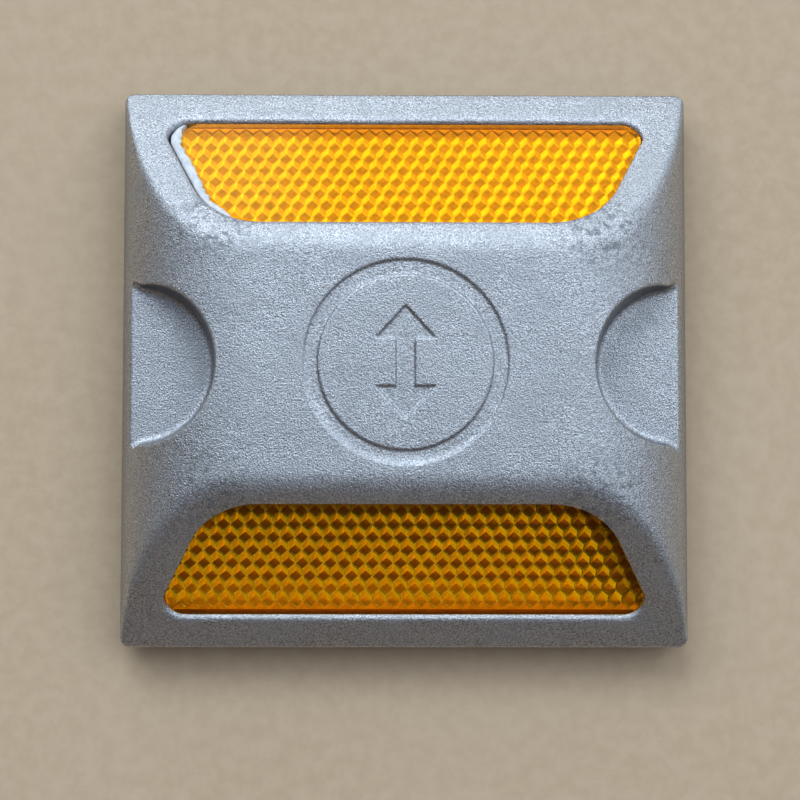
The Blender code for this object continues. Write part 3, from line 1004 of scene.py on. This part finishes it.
def adhesive_look():
    look = Look("adhesive")
    cloud = look.noise(0.9, 4.0, 0.6)
    colour = look.mix(look.range(cloud, 0.3, 0.7), (0.86, 0.88, 0.9), (0.62, 0.65, 0.68))
    look.bump(cloud, 0.25, 0.7)
    return look.set(Base_Color=colour, Roughness=0.3, IOR=1.5)


def butyl_look():
    look = Look("butyl_pad")
    dust = look.range(look.noise(1.1, 5.0, 0.7), 0.5, 0.75)
    colour = look.mix(look.maths("MULTIPLY", dust, 0.5), (0.018, 0.016, 0.015), (0.07, 0.06, 0.05))
    look.bump(look.noise(0.7, 4.0, 0.65), 0.4, 0.7)
    return look.set(Base_Color=colour, Roughness=look.range(dust, 0.0, 1.0, 0.6, 0.9))


def floor_look():
    look = Look("pale_floor")
    fibre = look.noise(0.35, 3.0, 0.6)
    cloud = look.noise(0.012, 2.0)
    colour = look.mix(look.range(fibre, 0.3, 0.7), (0.62, 0.46, 0.30), (0.68, 0.52, 0.345))
    colour = look.mix(look.range(cloud, 0.3, 0.7, 0.0, 0.25), colour, (0.70, 0.54, 0.37))
    look.bump(fibre, 0.05, 0.4)
    return look.set(Base_Color=colour, Roughness=0.85)


# ---------------------------------------------------------------- stage

def make_floor():
    mesh = bpy.data.meshes.new("floor")
    corners = [(x * FLOOR_REACH, y * FLOOR_REACH, 0.0) for x, y in ((-1, -1), (1, -1), (1, 1), (-1, 1))]
    mesh.from_pydata(corners, [], [(0, 1, 2, 3)])
    floor = bpy.data.objects.new("floor", mesh)
    bpy.context.scene.collection.objects.link(floor)
    floor.data.materials.append(floor_look())


def add_panel(name, place, size, power, colour):
    """A soft rectangular lamp at a place in metres, facing the marker."""
    lamp = bpy.data.lights.new(name, "AREA")
    lamp.shape = "RECTANGLE"
    lamp.size, lamp.size_y = size
    lamp.energy = power
    lamp.color = colour
    panel = bpy.data.objects.new(name, lamp)
    bpy.context.scene.collection.objects.link(panel)
    panel.location = place
    panel.rotation_euler = (-Vector(place)).to_track_quat("-Z", "Y").to_euler()


def make_world():
    """Soft room light: bright and cool from the far side, dim and warm from the viewer's side."""
    world = bpy.data.worlds.new("studio")
    bpy.context.scene.world = world
    world.use_nodes = True
    tree = world.node_tree
    background = tree.nodes["Background"]
    direction = tree.nodes.new("ShaderNodeTexCoord").outputs["Generated"]

    def closeness(way):
        node = tree.nodes.new("ShaderNodeVectorMath")
        node.operation = "DOT_PRODUCT"
        node.inputs[1].default_value = way
        tree.links.new(direction, node.inputs[0])
        return node.outputs["Value"]

    shift = tree.nodes.new("ShaderNodeMapRange")
    shift.inputs["From Min"].default_value = -1.0
    ramp = tree.nodes.new("ShaderNodeValToRGB")
    ramp.color_ramp.interpolation = "EASE"
    elements = ramp.color_ramp.elements
    elements[0].color = (*SKY[0][1], 1.0)
    elements[-1].position = SKY[-1][0]
    elements[-1].color = (*SKY[-1][1], 1.0)
    for position, colour in SKY[1:-1]:
        elements.new(position).color = (*colour, 1.0)
    tree.links.new(closeness(BRIGHT_WAY), shift.inputs["Value"])
    tree.links.new(shift.outputs["Result"], ramp.inputs["Fac"])
    tree.links.new(ramp.outputs["Color"], background.inputs["Color"])

    glow = tree.nodes.new("ShaderNodeMapRange")
    glow.interpolation_type = "SMOOTHSTEP"
    limits = {"From Min": GLOW_EDGE[0], "From Max": GLOW_EDGE[1], "To Max": GLOW_STRENGTH}
    for name, limit in {**limits, "To Min": 1.0}.items():
        glow.inputs[name].default_value = limit
    tree.links.new(closeness(GLOW_WAY), glow.inputs["Value"])
    tree.links.new(glow.outputs["Result"], background.inputs["Strength"])


def make_camera():
    camera = bpy.data.objects.new("camera", bpy.data.cameras.new("camera"))
    bpy.context.scene.collection.objects.link(camera)
    camera.data.lens = CAMERA_LENS
    camera.data.sensor_width = SENSOR_WIDTH
    camera.location = (CAMERA_PLACE + Vector((0.0, 0.0, BASE))) * MM
    turns = [Matrix.Rotation(math.radians(turn), 3, axis) for turn, axis in zip(CAMERA_TURNS, "XYZ")]
    camera.rotation_euler = (turns[0] @ turns[1] @ turns[2]).to_euler()
    bpy.context.scene.camera = camera


# ---------------------------------------------------------------- main

def main():
    make_casting(aluminium_look())
    front = front_look()
    border = prism_look("amber_border", (0.75, 0.28, 0.004), 0.5, FAR_TURN)
    far_faces = [
        prism_look("amber_far_side", (1.0, 0.50, 0.005), 0.4, FAR_TURN),
        prism_look("amber_far_lower", (1.0, 0.44, 0.005), 0.4, FAR_TURN),
        prism_look("amber_far_ridge", (1.0, 0.53, 0.01), 0.4, (0.0, 1.2, 4.0)),
    ]
    near_faces = [
        prism_look("amber_near_side", (1.0, 0.52, 0.01), 0.3, NEAR_TURN),
        # The near lens's lower faces get painted shade, with painted light towards the window's lower
        # edge.
        prism_look("amber_near_lower", (1.0, 0.46, 0.01), 0.3, NEAR_TURN, (0.42, 0.15, 0.005)),
        # Painted highlight: the near lens's ridges are painted a paler yellow than the far lens's ridges.
        prism_look("amber_near_ridge", (1.0, 0.85, 0.20), 0.25, (1.2, 0.4, 2.0)),
    ]
    make_lens("far_lens_prismatic", "far_lens", 1, FAR_LENS_TRIM, [front, *far_faces, border])
    make_lens("near_lens_prismatic", "near_lens", -1, 0.0, [front, *near_faces, border])
    adhesive = adhesive_look()
    make_far_adhesive(adhesive)
    make_pad(butyl_look())
    silver = silver_look()
    finishes = {"far_lens_backing": silver, "near_lens_backing": silver, "near_adhesive": adhesive}
    for node, finish in finishes.items():
        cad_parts[node].material_slots[0].material = finish
    make_floor()
    make_world()
    add_panel("window", (-0.60, 1.50, 1.40), (1.8, 0.9), 22.0, (0.80, 0.90, 1.0))
    add_panel("ceiling", (1.10, 0.55, 1.65), (1.4, 1.4), 10.0, (0.82, 0.91, 1.0))
    make_camera()
    bpy.context.scene.view_settings.view_transform = "Standard"


main()
